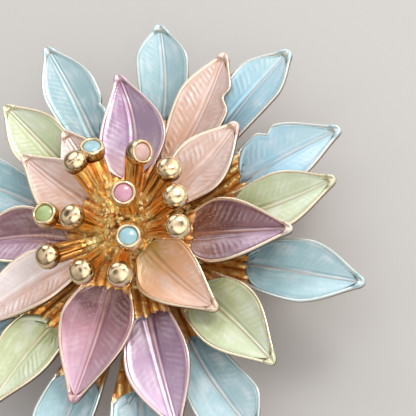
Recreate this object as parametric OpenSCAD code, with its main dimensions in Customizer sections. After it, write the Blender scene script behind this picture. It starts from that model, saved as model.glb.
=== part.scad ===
// Layered flower brooch: four cast flowers with enamelled petals, stamens and a pin.
// It lies on its back, so the feet of its pin stand at z = 0 and the stamens point up +Z.
// The middle of its outline lies at x = 0, y = 0, and the bar of the pin runs along X.

/* [Petals] */
// Thickness of each cast flower
metal_t = 0.8; // [0.6:0.1:0.9]
// Rise of a petal's face for each millimetre away from its midrib
cup = 0.3; // [0.2:0.05:0.3]
// Width of the bare rim round the enamel
rim_w = 0.5; // [0.3:0.05:0.6]
// Depth of the recess that holds the enamel
recess = 0.35; // [0.25:0.05:0.45]
// Clearance between the enamel and the metal under and round it
seat_gap = 0.03; // [0.02:0.01:0.05]
// Half width of a petal's blunt tip
tip_half = 0.6; // [0.3:0.05:0.7]
// Width of a petal where it leaves the middle, as a share of its full width
root_share = 0.35; // [0.25:0.05:0.5]

/* [Stack of flowers] */
// Height of the outer flower's middle over the surface that the brooch lies on
outer_z = 7.9; // [7.6:0.1:9]
// Step up from the outer flower to the green one
green_step = 1.7; // [1.7:0.1:2.2]
// Step up from the green flower to the middle one
middle_step = 1.5; // [1.5:0.1:2.0]
// Step up from the middle flower to the top one
top_step = 1.5; // [1.5:0.1:2.0]
// Clearance between two castings that rest on each other
stack_gap = 0.05; // [0.03:0.01:0.1]
// Radius of the boss on which each flower stands
boss_r = 4; // [3:0.5:6]

/* [Stamens] */
// Radius of a stamen at its root
root_r = 0.75; // [0.5:0.05:0.9]
// Radius of a stamen below its head
neck_r = 1.35; // [0.8:0.05:1.4]
// Diameter of a ball head
ball_d = 3.5; // [3:0.1:3.6]
// Diameter of an enamelled head
cup_d = 3.6; // [3.4:0.1:4]
// Height of an enamelled face over the middle of its head
face_h = 1.0; // [0.8:0.1:1.1]
// Diameter of the enamel dot in that face
dot_d = 2.5; // [2:0.1:2.6]
// Height of the mound that carries the stamens
mound_h = 2.1; // [1.8:0.1:2.4]
// Radius of its foot
mound_r = 4.8; // [4.4:0.1:5.2]

/* [Pin] */
// Length of the bar behind the flowers
bar_l = 34; // [30:1:40]
// Width of the bar and its feet
bar_w = 5.4; // [5:0.2:6]
// Thickness of the bar
bar_t = 1.0; // [0.8:0.1:1.2]
// Length of each foot along the bar
foot_l = 3.2; // [2.6:0.2:4]
// Diameter of the pin stem
stem_d = 1.0; // [0.8:0.1:1.2]
// Free height between the stem and the bar
cloth_gap = 4.2; // [4.1:0.1:4.4]

/* [Hidden] */
// The four flowers, from the back to the front
OUTER = 0;
GREEN = 1;
MIDDLE = 2;
TOP = 3;

// Colours of the enamel
SKY = "lightskyblue";
LEAF = "palegreen";
PINK = "lightpink";
MAUVE = "mediumpurple";

// One row for each petal, in the order azimuth, tip radius, rise to the tip, width,
// sideways bend, radius where the enamel starts, radius where it is widest, colour
OUTER_PETALS = [
    [ 21, 32.6, 4.2,  9.7,  0.9, 17.5, 23.0, SKY],
    [ 46, 34.6, 4.2,  7.8,  1.2, 19.0, 28.0, SKY],
    [ 82, 33.0, 4.2,  8.1, -1.6, 18.5, 27.0, SKY],
    [113, 34.7, 4.2,  8.2, -0.6, 18.0, 26.0, SKY],
    [154, 33.8, 4.2,  8.4,  0.0, 17.0, 26.0, SKY],
    [190, 33.8, 4.2,  8.4,  0.0, 18.0, 26.0, SKY],
    [218, 33.8, 4.2,  8.4,  0.0, 18.0, 26.0, SKY],
    [250, 33.8, 4.2,  8.4,  0.0, 20.0, 26.0, SKY],
    [274, 33.8, 4.2,  8.4,  0.0, 22.0, 27.0, SKY],
    [301, 33.6, 4.2,  8.6, -1.2, 17.0, 28.0, SKY],
    [342, 33.8, 4.2,  8.7,  0.1, 17.0, 25.0, SKY]
];
GREEN_PETALS = [
    [  8, 29.7, 3.2,  8.4, -1.0, 15.0, 21.0, LEAF],
    [131, 29.1, 4.2,  8.2,  0.0, 14.0, 21.0, LEAF],
    [231, 29.5, 4.2,  8.8, -1.4, 16.5, 20.0, LEAF],
    [315, 28.8, 4.2,  9.3,  0.7, 13.0, 19.0, LEAF]
];
MIDDLE_PETALS = [
    [ 60, 29.6, 1.8,  8.4, -0.9, 11.0, 21.0, PINK],
    [120, 19.0, 2.4,  6.4,  0.0, 10.4, 13.0, PINK],
    [179, 25.0, 1.8,  8.6, -1.2,  9.0, 16.0, MAUVE],
    [285, 28.6, 1.8,  8.9, -0.3, 12.0, 19.0, MAUVE],
    [353, 23.8, 3.4,  9.3,  0.2,  9.0, 13.0, MAUVE]
];
TOP_PETALS = [
    [ 40, 21.6, 1.1,  8.5, -1.0,  8.0, 13.5, PINK],
    [ 93, 24.4, 1.1, 10.0, -2.0,  8.0, 13.0, MAUVE],
    [140, 20.0, 2.0,  8.9,  0.4,  8.0, 10.0, PINK],
    [208, 26.5, 1.1,  8.2, -1.0,  8.0, 14.0, PINK],
    [254, 24.4, 1.1, 10.6,  0.3,  8.0, 13.0, MAUVE],
    [316, 18.2, 1.1,  8.8, -0.5,  6.5,  8.2, PINK]
];
PETALS = [OUTER_PETALS, GREEN_PETALS, MIDDLE_PETALS, TOP_PETALS];

// Radius of each flower's disc, how far it stands over the petal roots on both faces,
// radius where the petals start, and height of the middle
hub_r = [15, 9, 8, 6.2];
disc_over = 0.06;
start_r = [9, 7, 6, 4.5];
green_z = outer_z + green_step;
middle_z = green_z + middle_step;
top_z = middle_z + top_step;
hub_z = [outer_z, green_z, middle_z, top_z];

// Kinds of stamen head
BALL = 0;
CUP = 1;

// One row for each stamen, in the order azimuth, radius and height of the head's middle,
// kind, azimuth and lean of an enamelled face, colour
head_h = 7.7;
inner_h = 8.5;
STAMENS = [
    [104,  9.7, head_h - 0.3,  CUP,   56,  27, SKY],
    [120,  8.7, head_h + 0.6, BALL,    0,   0, ""],
    [176,  8.6,       head_h,  CUP,   15,   3, LEAF],
    [213,  9.6,       head_h, BALL,    0,   0, ""],
    [248,  8.5,       head_h, BALL,    0,   0, ""],
    [283,  9.0,       head_h, BALL,    0,   0, ""],
    [342, 10.3,       head_h, BALL,    0,   0, ""],
    [  6,  9.5,       head_h, BALL,    0,   0, ""],
    [ 30, 10.0,       head_h, BALL,    0,   0, ""],
    [ 61,  9.2,       head_h,  CUP,  -18,  55, PINK],
    [ 36,  3.3,      inner_h,  CUP,  -30,  20, MAUVE],
    [309,  5.5,      inner_h,  CUP,   -9,  16, SKY],
    [185,  4.5,      inner_h, BALL,    0,   0, ""]
];
DOTS = [for (s = STAMENS) if (s[3] == CUP) s];

// Circle on which the stamens root, its height over the mound's foot,
// and how far below the middle of an enamelled head its stamen ends
root_ring = 1.8;
root_h = 0.8;
neck_drop = 0.8;
// Clearance of the mound over the petal roots, and the radius of its round top
mound_lift = 0.45;
mound_ball_r = (mound_r * mound_r + mound_h * mound_h) / (2 * mound_h);

// Heights of the bar and the stem, and the bar's place under the middle of mass
bar_z = outer_z - metal_t - disc_over - stack_gap - bar_t;
stem_z = bar_z - cloth_gap - stem_d / 2;
bar_y = -0.4;

// Steps of a petal's enamelled stretch, and the share of its length where that ends
steps = 7;
enamel_end = 0.94;
// Length share of the recess's end walls, draft of its sides, and enamel below the rim
wall_share = 0.012;
draft = 0.08;
enamel_low = 0.05;

// Middle of the outline that the petal tips draw
tips = [for (row = PETALS, p = row) p[1] * [cos(p[0]), sin(p[0])]];
outline_mid = [for (k = [0, 1])
    (max([for (q = tips) q[k]]) + min([for (q = tips) q[k]])) / 2];

// Names of the nodes
flower_names = ["outer", "green", "middle", "top"];

function enamel_name(c, i) = str(flower_names[c], "_enamel_", i + 1);

function dot_name(i) = str("stamen_dot_", i + 1);

// Share of a petal's length at a radius
function share(p, c, r) = (r - start_r[c]) / (p[1] - start_r[c]);

function enamel_start(p, c) = share(p, c, p[5]);

// Half width of a petal at the share t of its length
function half_width(p, c, t) =
    let (
        t_wide = share(p, c, p[6]),
        rising = root_share + (1 - root_share) * sin(90 * pow(min(1, t / t_wide), 1.6)),
        falling = cos(90 * max(0, (t - t_wide) / (1 - t_wide)))
    )
    tip_half + (p[3] / 2 - tip_half) * (t < t_wide ? rising : falling);

// Point on the midrib at the share t, as [along, sideways, up]
function midrib(p, c, t) = [
    start_r[c] + (p[1] - start_r[c]) * t,
    p[4] * sin(180 * t),
    hub_z[c] + p[2] * pow(t, 1.3)
];

// Shares at which the enamelled stretch is cut, and those of the whole petal
function enamel_shares(p, c) =
    let (t0 = enamel_start(p, c))
    [for (i = [0:steps]) t0 + (enamel_end - t0) * i / steps];

function petal_shares(p, c) =
    let (t0 = enamel_start(p, c))
    concat([0, t0 / 2, t0 - wall_share], enamel_shares(p, c), [enamel_end + wall_share, 1]);

// Point of a cross-section, sideways from the midrib and up from the cupped face.
// The petal is flat at its root and has its full cup where the enamel starts.
function section_point(p, c, t, q) =
    let (m = midrib(p, c, t), slope = cup * min(1, t / enamel_start(p, c)))
    [m[0], m[1] + q[0], m[2] + slope * abs(q[0]) + q[1]];

function inner_half(p, c, t) =
    let (w = half_width(p, c, t)) w - min(rim_w, w / 3);

function cast_section(p, c, t) =
    let (
        w = half_width(p, c, t),
        inner = inner_half(p, c, t),
        enamelled = t > enamel_start(p, c) - wall_share / 2 && t < enamel_end + wall_share / 2,
        d = enamelled ? recess : 0
    )
    [for (q = [
        [-w, -metal_t], [0, -metal_t], [w, -metal_t],
        [w, 0], [inner, 0], [inner - draft, -d], [0, -d],
        [draft - inner, -d], [-inner, 0], [-w, 0]
    ]) section_point(p, c, t, q)];

function enamel_section(p, c, t) =
    let (side = inner_half(p, c, t) - draft - seat_gap, low = seat_gap - recess)
    [for (q = [
        [-side, low], [0, low], [side, low],
        [side, -enamel_low], [0, -enamel_low], [-side, -enamel_low]
    ]) section_point(p, c, t, q)];

// Closed body through a list of like cross-sections, with its ends fanned from point 1
module loft(sections) {
    n = len(sections[0]);
    last = len(sections) - 1;
    points = [for (s = sections, q = s) q];
    sides = [for (i = [0:last - 1], j = [0:n - 1])
        let (a = i * n + j, b = i * n + (j + 1) % n)
        each [[a, b + n, b], [a, a + n, b + n]]];
    ends = [for (j = [2:n - 1])
        let (k = (j + 1) % n)
        each [[1, j, k], [last * n + 1, last * n + k, last * n + j]]];
    polyhedron(points, concat(sides, ends), convexity = 4);
}

// Cast flower: its petals, the disc that joins them and the boss that it stands on
module casting(c, boss_h) {
    color("goldenrod") {
        for (p = PETALS[c])
            rotate([0, 0, p[0]])
                loft([for (t = petal_shares(p, c)) cast_section(p, c, t)]);
        translate([0, 0, hub_z[c] - metal_t - disc_over])
            cylinder(h = metal_t + 2 * disc_over, r = hub_r[c], $fn = 64);
        if (boss_h > 0)
            translate([0, 0, hub_z[c] - metal_t - boss_h])
                cylinder(h = boss_h + metal_t / 2, r = boss_r, $fn = 48);
    }
}

module outer_flower() {
    casting(OUTER, 0);
}

module green_flower() {
    casting(GREEN, green_step - metal_t - disc_over - stack_gap);
}

module middle_flower() {
    casting(MIDDLE, middle_step - metal_t - disc_over - stack_gap);
}

module top_flower() {
    casting(TOP, top_step - metal_t - disc_over - stack_gap);
}

module petal_enamel(c, i) {
    p = PETALS[c][i];
    color(p[7])
        rotate([0, 0, p[0]])
            loft([for (t = enamel_shares(p, c)) enamel_section(p, c, t)]);
}

// Turns +Z to an azimuth and a lean from the vertical
module aim(azimuth, lean) {
    rotate([0, lean, azimuth])
        children();
}

function root_point(s) =
    [root_ring * cos(s[0]), root_ring * sin(s[0]), top_z + mound_lift + root_h];

function head_point(s) = [s[1] * cos(s[0]), s[1] * sin(s[0]), top_z + s[2]];

// Direction in which an enamelled face looks
function face_dir(s) = [sin(s[5]) * cos(s[4]), sin(s[5]) * sin(s[4]), cos(s[5])];

// Ball head, cut flat and recessed where it holds enamel
module head(s) {
    if (s[3] == BALL)
        sphere(d = ball_d, $fn = 32);
    else
        aim(s[4], s[5])
            difference() {
                sphere(d = cup_d, $fn = 32);
                translate([0, 0, face_h])
                    cylinder(h = cup_d, d = 2 * cup_d, $fn = 32);
                translate([0, 0, face_h - recess])
                    cylinder(h = cup_d, d = dot_d, $fn = 32);
            }
}

module stamen(s) {
    a = root_point(s);
    b = head_point(s) - face_dir(s) * (s[3] == CUP ? neck_drop : 0);
    d = b - a;
    translate(a)
        aim(atan2(d[1], d[0]), acos(d[2] / norm(d)))
            cylinder(h = norm(d), r1 = root_r, r2 = neck_r, $fn = 24);
    translate(head_point(s))
        head(s);
}

// Low round mound, the cap of a ball
module mound() {
    intersection() {
        translate([0, 0, mound_h - mound_ball_r])
            sphere(r = mound_ball_r, $fn = 48);
        translate([-mound_r - 1, -mound_r - 1, 0])
            cube([2 * mound_r + 2, 2 * mound_r + 2, mound_h + 1]);
    }
}

// All the stamens and the mound that they grow from, one casting
module stamens() {
    color("orange") {
        for (s = STAMENS)
            stamen(s);
        translate([0, 0, top_z + mound_lift])
            mound();
    }
}

module stamen_dot(s) {
    color(s[6])
        translate(head_point(s))
            aim(s[4], s[5])
                translate([0, 0, face_h - recess + seat_gap])
                    cylinder(h = recess - seat_gap, d = dot_d - 2 * seat_gap, $fn = 32);
}

// Bar with its two feet and the stem between them, one piece
module pin_back() {
    color("gold")
        translate([-bar_l / 2, bar_y, 0]) {
            translate([0, -bar_w / 2, bar_z])
                cube([bar_l, bar_w, bar_t]);
            for (x = [0, bar_l - foot_l])
                translate([x, -bar_w / 2, 0])
                    cube([foot_l, bar_w, bar_z + bar_t / 2]);
            translate([foot_l / 2, 0, stem_z])
                rotate([0, 90, 0])
                    cylinder(h = bar_l - foot_l, d = stem_d, $fn = 24);
        }
}

// Puts the middle of the outline over the origin
module centred() {
    translate([-outline_mid[0], -outline_mid[1], 0])
        children();
}

centred() outer_flower();
centred() green_flower();
centred() middle_flower();
centred() top_flower();
centred() stamens();
centred() pin_back();
for (c = [OUTER:TOP], i = [0:len(PETALS[c]) - 1])
    centred() petal_enamel(c, i);
for (i = [0:len(DOTS) - 1])
    centred() stamen_dot(DOTS[i]);
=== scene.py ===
# %% [markdown]
# # An enamelled flower brooch
#
# The brooch is four cast flowers, one on another, with pearly enamel in every petal and
# thirteen gold stamens in the middle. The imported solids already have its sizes, so this
# lesson keeps them and adds what light finds on the real one: rounded rims, a raised
# midrib with fine veins under the enamel, fluted gold and a rough, sparkling middle.
# All measures are in millimetres until the last step of each shape, which turns them
# into metres.

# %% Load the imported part
import math

import bmesh
import bpy
from mathutils import Matrix, Vector


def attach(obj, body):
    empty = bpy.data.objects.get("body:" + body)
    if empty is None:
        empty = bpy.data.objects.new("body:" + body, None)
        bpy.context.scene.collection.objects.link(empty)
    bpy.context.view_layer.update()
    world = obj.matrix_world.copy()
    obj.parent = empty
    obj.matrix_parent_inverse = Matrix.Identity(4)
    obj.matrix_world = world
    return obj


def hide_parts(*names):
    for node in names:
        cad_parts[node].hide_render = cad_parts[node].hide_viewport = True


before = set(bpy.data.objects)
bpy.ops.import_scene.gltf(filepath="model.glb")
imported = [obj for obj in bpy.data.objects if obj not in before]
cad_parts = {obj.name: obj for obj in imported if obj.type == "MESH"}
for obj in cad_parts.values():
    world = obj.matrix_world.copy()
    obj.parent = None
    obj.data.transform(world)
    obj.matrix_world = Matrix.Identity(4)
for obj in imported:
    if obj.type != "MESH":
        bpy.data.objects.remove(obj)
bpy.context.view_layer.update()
scene = bpy.context.scene
MM = 0.001
print("solids in the frame:", len(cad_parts))

# %% [markdown]
# ## The camera
#
# The photograph looks down on the flower from the lower right, close by. The camera stands
# where a fit to the petal tips put it, with its three axes, and looks against the last one.
# With a sensor of 36 mm the focal length in pixels gives the lens for a square picture.

# %% Camera
EYE = Vector((47.75, -52.10, 142.0)) * MM
RIGHT = Vector((0.9629, -0.0143, -0.2696))
UP = Vector((0.1147, 0.9257, 0.3604))
BACK = Vector((0.2444, -0.3780, 0.8930))
FOCAL_PIXELS = 1066.2
PICTURE_PIXELS = 416
SENSOR = 36.0

lens = bpy.data.cameras.new("camera")
lens.sensor_width = SENSOR
lens.lens = FOCAL_PIXELS / PICTURE_PIXELS * SENSOR
lens.clip_start = 0.005
lens.clip_end = 10.0
camera = bpy.data.objects.new("camera", lens)
scene.collection.objects.link(camera)
turn = Matrix((RIGHT, UP, BACK)).transposed().to_4x4()
camera.matrix_world = Matrix.Translation(EYE) @ turn
scene.camera = camera
print(f"lens {lens.lens:.1f} mm")

# %% [markdown]
# ## Node trees written as sums
#
# Shapes and finishes are both node trees here. Adding each Math node by hand is long and
# hard to read, so one small class wraps an output socket and lets Python's operators add
# the nodes. A second class holds the tree. Its method `node` adds any node, and the others
# are short names for the nodes that come up most.

# %% Wires and sheets
def operator(operation, swapped=False):
    """A method that adds a Math node; swapped, for a number on the left of the sign."""

    def method(self, other):
        values = (other, self) if swapped else (self, other)
        return self.sheet.math(operation, *values)

    return method


class Wire:
    """One output of a node, which Python's operators work on."""

    __add__ = __radd__ = operator("ADD")
    __mul__ = __rmul__ = operator("MULTIPLY")
    __sub__ = operator("SUBTRACT")
    __rsub__ = operator("SUBTRACT", swapped=True)
    __truediv__ = operator("DIVIDE")
    __rtruediv__ = operator("DIVIDE", swapped=True)
    __pow__ = operator("POWER")

    def __init__(self, sheet, socket):
        self.sheet = sheet
        self.socket = socket

    def __neg__(self):
        return self * -1.0

    def __abs__(self):
        return self.math("ABSOLUTE")

    def math(self, operation, *others):
        return self.sheet.math(operation, self, *others)

    def out(self, name):
        """Another output of the same node."""
        return Wire(self.sheet, pick(self.socket.node.outputs, name))


def pick(sockets, key):
    """A socket by its place, or the first one in use that has the name."""
    if isinstance(key, int):
        return sockets[key]
    return next(s for s in sockets if s.name == key and s.enabled)


class Sheet:
    """A node tree, with a method that adds any node and short names for common ones."""

    def __init__(self, tree):
        self.tree = tree

    def node(self, kind, settings=None, sockets=None, output=0):
        made = self.tree.nodes.new(kind)
        for name, value in (settings or {}).items():
            if name == "stops":
                set_stops(made.color_ramp, value)
            else:
                setattr(made, name, value)
        for key, value in (sockets or {}).items():
            socket = pick(made.inputs, key)
            if isinstance(value, Wire):
                self.tree.links.new(value.socket, socket)
            else:
                socket.default_value = value
        return Wire(self, pick(made.outputs, output))

    def math(self, operation, *values):
        return self.node("ShaderNodeMath", {"operation": operation}, dict(enumerate(values)))

    def rise(self, value, low, high):
        """0 below low, 1 above high, and a smooth step between them."""
        return self.node(
            "ShaderNodeMapRange",
            {"interpolation_type": "SMOOTHSTEP"},
            {"Value": value, "From Min": low, "From Max": high},
        )

    def noise(self, place, size, detail=2.0, output="Fac"):
        """Noise whose lumps are about size across, from 0 to 1."""
        return self.node(
            "ShaderNodeTexNoise",
            {},
            {"Vector": place, "Scale": 1.0 / size, "Detail": detail},
            output,
        )

    def point(self, x, y, z):
        return self.node("ShaderNodeCombineXYZ", {}, {0: x, 1: y, 2: z})

    def blend(self, share, first, second):
        """A colour between two colours."""
        return self.node(
            "ShaderNodeMix", {"data_type": "RGBA"}, {0: share, 6: first, 7: second}, 2
        )

    def split(self, vector):
        """A vector's X, with Y and Z as the node's other outputs."""
        return self.node("ShaderNodeSeparateXYZ", {}, {0: vector})

    def vector(self, operation, *values, output=0):
        return self.node(
            "ShaderNodeVectorMath", {"operation": operation}, dict(enumerate(values)), output
        )

    def scale(self, vector, factor):
        return self.node(
            "ShaderNodeVectorMath", {"operation": "SCALE"}, {0: vector, "Scale": factor}
        )


def set_stops(ramp, stops):
    while len(ramp.elements) > 1:
        ramp.elements.remove(ramp.elements[-1])
    for i, (place, colour) in enumerate(stops):
        stop = ramp.elements[0] if i == 0 else ramp.elements.new(place)
        stop.position = place
        stop.color = colour


def clamp(value):
    return value.math("MAXIMUM", 0.0).math("MINIMUM", 1.0)


def mix(share, first, second):
    """A number between two numbers."""
    return first + (second - first) * share


def hill(value, middle, width):
    """1 at the middle, falling off like a bell."""
    away = (value - middle) / width
    return (away * away * -1.0).math("EXPONENT")


def wave(phase):
    """A cosine that runs between 0 and 1."""
    return phase.math("COSINE") * 0.5 + 0.5


# %% [markdown]
# A Geometry Nodes tree is a recipe with named inputs. `recipe` opens one with its inputs,
# `close_recipe` ends it, and `cook` runs it once with given values and returns the result as
# a plain mesh, so no modifier is left on any piece. The values are set by each socket's
# identifier, because two sockets may share a name. An input without a value is 0.

# %% Recipes
SOCKET_KINDS = {
    "Metal": "NodeSocketMaterial", "Glass": "NodeSocketMaterial", "Foot": "NodeSocketVector",
}


def recipe(name, inputs):
    tree = bpy.data.node_groups.new(name, "GeometryNodeTree")
    tree.interface.new_socket("Geometry", in_out="OUTPUT", socket_type="NodeSocketGeometry")
    for label in inputs:
        kind = SOCKET_KINDS.get(label, "NodeSocketFloat")
        tree.interface.new_socket(label, in_out="INPUT", socket_type=kind)
    sheet = Sheet(tree)
    entry = tree.nodes.new("NodeGroupInput")
    return sheet, {label: Wire(sheet, entry.outputs[label]) for label in inputs}


def close_recipe(shape, material):
    """Ends a recipe with smooth faces, real geometry and a material, and gives its tree."""
    sheet = shape.sheet
    shape = sheet.node("GeometryNodeSetShadeSmooth", {}, {"Geometry": shape})
    shape = sheet.node("GeometryNodeRealizeInstances", {}, {"Geometry": shape})
    shape = sheet.node("GeometryNodeSetMaterial", {}, {"Geometry": shape, "Material": material})
    end = sheet.tree.nodes.new("NodeGroupOutput")
    sheet.tree.links.new(shape.socket, end.inputs[0])
    print(f"{sheet.tree.name}: {len(sheet.tree.nodes)} nodes")
    return sheet.tree


def cook(tree, name, values):
    seed = bpy.data.objects.new(name, bpy.data.meshes.new(name))
    modifier = seed.modifiers.new("shape", "NODES")
    modifier.node_group = tree
    for item in tree.interface.items_tree:
        if item.in_out == "INPUT" and item.name in values:
            modifier[item.identifier] = values[item.name]
    scene.collection.objects.link(seed)
    depsgraph = bpy.context.evaluated_depsgraph_get()
    mesh = bpy.data.meshes.new_from_object(
        seed.evaluated_get(depsgraph), preserve_all_data_layers=True, depsgraph=depsgraph
    )
    bpy.data.objects.remove(seed)
    mesh.name = name
    return mesh


def keep_fields(shape, fields, kind="FLOAT"):
    """Stores numbers or vectors on every point, for the materials to read."""
    for name, value in fields.items():
        shape = shape.sheet.node(
            "GeometryNodeStoreNamedAttribute",
            {"data_type": kind, "domain": "POINT"},
            {"Geometry": shape, "Name": name, "Value": value},
        )
    return shape


def move_points(shape, places):
    """Moves every point to its place, which comes in millimetres."""
    places = shape.sheet.scale(places, MM)
    return shape.sheet.node(
        "GeometryNodeSetPosition", {}, {"Geometry": shape, "Position": places}
    )


# %% [markdown]
# ## The petals' sizes
#
# These tables say again what the solids were made from: one row for each petal, with its
# direction, how far its tip reaches, how much it climbs, its width, its sideways bend,
# where its enamel starts and where it is widest. The last two columns are for looks alone:
# the enamel's colour and the height of the veins. The short lists hold one number for each
# flower: its disc's face and radius, where its petals start, and the boss under its disc.

# %% Petals
AXIS = (0.571, 0.520)  # the flowers' middle in the frame
METAL = 0.8  # a casting's thickness
CUP = 0.3  # how much a face rises for each millimetre from its midrib
RIM = 0.56
RECESS = 0.35
TIP_HALF = 0.6
ROOT_SHARE = 0.35  # how wide a root is, as a share of the widest place
GROWTH = 1.6
POINTED = 1.3
CLIMB_CURVE = 1.3
FLOWERS = ["outer", "green", "middle", "top"]
HUB_Z = [7.9, 9.6, 11.1, 12.6]
HUB_R = [15.0, 9.0, 8.0, 6.2]
START_R = [9.0, 7.0, 6.0, 4.5]
BOSS_H = [0.0, 0.79, 0.59, 0.59]
BOSS_R = 4.0
DISC_OVER = 0.06  # how far a disc laps over its petals' roots, above and below

COLUMNS = ["Azimuth", "Tip", "Climb", "Width", "Bend", "Enamel from", "Widest"]
PETALS = [
    [
        (21, 32.6, 4.2, 9.7, 0.9, 17.5, 23.0, "ice", 0.03),
        (46, 34.6, 4.2, 7.8, 1.2, 19.0, 28.0, "ice", 0.03),
        (82, 33.0, 4.2, 8.1, -1.6, 18.5, 27.0, "sky", 0.02),
        (113, 34.7, 4.2, 8.2, -0.6, 18.0, 26.0, "sky", 0.02),
        (154, 33.8, 4.2, 8.4, 0.0, 17.0, 26.0, "sky", 0.02),
        (190, 33.8, 4.2, 8.4, 0.0, 18.0, 26.0, "sky", 0.02),
        (218, 33.8, 4.2, 8.4, 0.0, 18.0, 26.0, "sky", 0.02),
        (250, 33.8, 4.2, 8.4, 0.0, 20.0, 26.0, "sky", 0.02),
        (274, 33.8, 4.2, 8.4, 0.0, 22.0, 27.0, "sky", 0.02),
        (301, 33.6, 4.2, 8.6, -1.2, 17.0, 28.0, "sky", 0.02),
        (342, 33.8, 4.2, 8.7, 0.1, 17.0, 25.0, "sky", 0.02),
    ],
    [
        (8, 29.7, 3.2, 8.4, -1.0, 15.0, 21.0, "leaf", 0.04),
        (131, 29.1, 4.2, 8.2, 0.0, 14.0, 21.0, "leaf", 0.05),
        (231, 29.5, 4.2, 8.8, -1.4, 16.5, 20.0, "leaf", 0.04),
        (315, 28.8, 4.2, 9.3, 0.7, 13.0, 19.0, "leaf", 0.04),
    ],
    [
        (60, 29.6, 1.8, 8.4, -0.9, 11.0, 21.0, "pink", 0.07),
        (120, 19.0, 2.4, 6.4, 0.0, 10.4, 13.0, "pink", 0.04),
        (179, 25.0, 1.8, 8.6, -1.2, 9.0, 16.0, "plum", 0.04),
        (285, 28.6, 1.8, 8.9, -0.3, 12.0, 19.0, "lilac", 0.03),
        (353, 23.8, 3.4, 9.3, 0.2, 9.0, 13.0, "plum", 0.06),
    ],
    [
        (40, 21.6, 1.1, 8.5, -1.0, 8.0, 13.5, "pink", 0.05),
        (93, 24.4, 1.1, 10.0, -2.0, 8.0, 13.0, "orchid", 0.025),
        (140, 20.0, 2.0, 8.9, 0.4, 8.0, 10.0, "pink", 0.03),
        (208, 26.5, 1.1, 8.2, -1.0, 8.0, 14.0, "pink", 0.05),
        (254, 24.4, 1.1, 10.6, 0.3, 8.0, 13.0, "rosewood", 0.035),
        (316, 18.2, 1.1, 8.8, -0.5, 6.5, 8.2, "peach", 0.05),
    ],
]
print("petals:", sum(len(rows) for rows in PETALS))

# %% [markdown]
# ## One leaf-shaped surface
#
# Every petal follows the same rule. Its midrib climbs away from the middle with a slight
# sideways bend. Its half width grows from the root to the widest place like a sine. Then it
# falls to the blunt tip like a cosine raised to a power a little over one, which makes the
# outline slightly hollow before the tip. Its face rises on both sides of the midrib, so it
# is a shallow gutter. `leaf` adds that rule to a recipe and gives back what the casting and
# the enamel both need.

# %% The rule of a petal
QUARTER_TURN = math.pi / 2
DEGREE = math.pi / 180
NO_NOTCH = {"Notch at": 100.0, "Notch depth": 0.0, "Notch long": 1.0, "Notch side": 1.0}
LEAF_INPUTS = COLUMNS + ["Root", "Height", "Seed", *NO_NOTCH]


def leaf(g, share, across):
    """The rule at a share of the petal's length and a share of its half width, -1 to 1."""
    length = g["Tip"] - g["Root"]
    enamel_share = (g["Enamel from"] - g["Root"]) / length
    wide_share = (g["Widest"] - g["Root"]) / length
    to_wide = (share / wide_share).math("MINIMUM", 1.0)
    past_wide = ((share - wide_share) / (1.0 - wide_share)).math("MAXIMUM", 0.0)
    growing = ROOT_SHARE + (1 - ROOT_SHARE) * (to_wide ** GROWTH * QUARTER_TURN).math("SINE")
    falling = (past_wide * QUARTER_TURN).math("COSINE").math("MAXIMUM", 0.0) ** POINTED
    half = TIP_HALF + (g["Width"] * 0.5 - TIP_HALF) * growing * falling
    radius = g["Root"] + length * share
    notch = hill(radius, g["Notch at"], g["Notch long"])
    on_side = (across * g["Notch side"]).math("GREATER_THAN", 0.0)
    half = half - notch * g["Notch depth"] * on_side
    slope = CUP * (share / enamel_share).math("MINIMUM", 1.0)
    return {
        "length": length, "enamel share": enamel_share, "half": half,
        "radius": radius, "slope": slope,
        "side line": g["Bend"] * (share * math.pi).math("SINE"),
        "height": g["Height"] + g["Climb"] * share ** CLIMB_CURVE,
    }


def place_leaf(g, rule, side, lift):
    """The point at a distance from the midrib, lift above the face, turned to its azimuth."""
    x = rule["radius"]
    y = rule["side line"] + side
    z = rule["height"] + rule["slope"] * abs(side) + lift
    angle = g["Azimuth"] * DEGREE
    east, north = angle.math("COSINE"), angle.math("SINE")
    return z.sheet.point(x * east - y * north + AXIS[0], x * north + y * east + AXIS[1], z)


# %% [markdown]
# ## A ring that becomes a cross-section
#
# A petal is a closed tube whose ring is pressed flat: the first points of each ring run over
# its top from one edge to the other, and the rest come back underneath. So the start is a
# cylinder, which is closed and whose faces look outwards, and every point only has to know
# its place round the ring and its step along the tube.

# %% The ring
def around(sheet):
    """Where the points of a cylinder are, and each point's angle round it."""
    here = sheet.split(sheet.node("GeometryNodeInputPosition"))
    return here, sheet.math("ARCTAN2", here.out("Y"), here.out("X"))


def tube(sheet, ring, steps):
    """A closed cylinder, and each point's number in its ring, share of the height and angle."""
    shape = sheet.node(
        "GeometryNodeMeshCylinder",
        {"fill_type": "NGON"},
        {"Vertices": ring, "Side Segments": steps, "Radius": 1.0, "Depth": 1.0},
        "Mesh",
    )
    here, angle = around(sheet)
    spot = (angle * (ring / (2 * math.pi)) + ring).math("ROUND").math("MODULO", float(ring))
    return shape, spot, here.out("Z") + 0.5, angle


def press_flat(spot, ring, top):
    """Runs 1 to -1 over the top points of a ring and back under them; also 1 for those on top."""
    on_top = spot.math("LESS_THAN", top - 0.5)
    over = 1.0 - spot * (2.0 / (top - 1))
    under = (spot - top) * (2.0 / (ring - top - 1)) - 1.0
    return mix(on_top, under, over), on_top


# %% [markdown]
# ## The cast petal
#
# The metal shows in four places: the rounded rim, the thick nub at the tip, the side walls,
# and the fluted root where no enamel lies. Points crowd towards the two edges, because the
# rim is only half a millimetre wide. Inside the rim the metal drops to the floor on which
# the enamel lies.

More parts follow.
